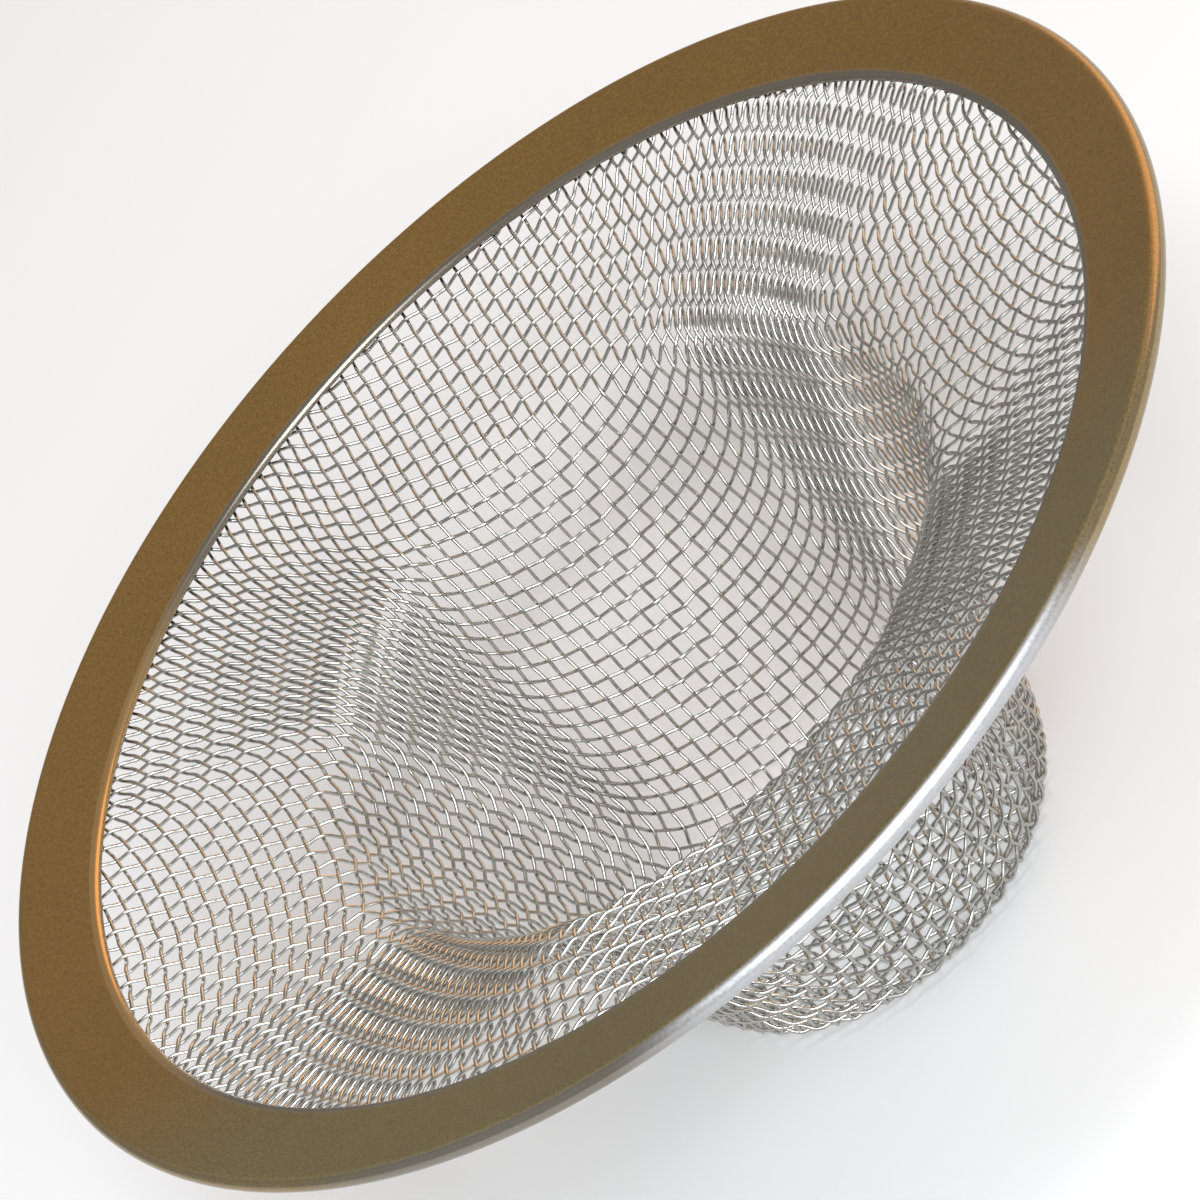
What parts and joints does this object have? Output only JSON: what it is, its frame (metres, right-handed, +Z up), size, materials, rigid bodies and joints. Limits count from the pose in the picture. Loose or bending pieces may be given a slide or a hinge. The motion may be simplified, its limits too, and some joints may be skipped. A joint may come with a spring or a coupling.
{
  "type": "bathtub drain strainer",
  "caption": "Round bathtub drain strainer: a tapered woven-wire cup with a shallow dish around its mouth, held in a folded steel rim that rests on the drain.",
  "frame": {"origin": "centre of the basket floor, at its lowest wires", "axes": "+Z up along the basket axis, out of its mouth; X and Y in the plane of the rim, the picture taken from the -Y side"},
  "size_m": [0.07, 0.07, 0.0277],
  "materials": {
    "rim_steel": "satin",
    "wire_steel": "bright drawn wire"
  },
  "bodies": {
    "root": {"rim": "rim_steel", "warp_wire_01": "wire_steel", "warp_wire_02": "wire_steel", "warp_wire_03": "wire_steel", "warp_wire_04": "wire_steel", "warp_wire_05": "wire_steel", "warp_wire_06": "wire_steel", "warp_wire_07": "wire_steel", "warp_wire_08": "wire_steel", "warp_wire_09": "wire_steel", "warp_wire_10": "wire_steel", "warp_wire_11": "wire_steel", "warp_wire_12": "wire_steel", "warp_wire_13": "wire_steel", "warp_wire_14": "wire_steel", "warp_wire_15": "wire_steel", "warp_wire_16": "wire_steel", "warp_wire_17": "wire_steel", "warp_wire_18": "wire_steel", "warp_wire_19": "wire_steel", "warp_wire_20": "wire_steel", "warp_wire_21": "wire_steel", "warp_wire_22": "wire_steel", "warp_wire_23": "wire_steel", "weft_wire_01": "wire_steel", "weft_wire_02": "wire_steel", "weft_wire_03": "wire_steel", "weft_wire_04": "wire_steel", "weft_wire_05": "wire_steel", "weft_wire_06": "wire_steel", "weft_wire_07": "wire_steel", "weft_wire_08": "wire_steel", "weft_wire_09": "wire_steel", "weft_wire_10": "wire_steel", "weft_wire_11": "wire_steel", "weft_wire_12": "wire_steel", "weft_wire_13": "wire_steel", "weft_wire_14": "wire_steel", "weft_wire_15": "wire_steel", "weft_wire_16": "wire_steel", "weft_wire_17": "wire_steel", "weft_wire_18": "wire_steel", "weft_wire_19": "wire_steel"}
  },
  "joints": []
}
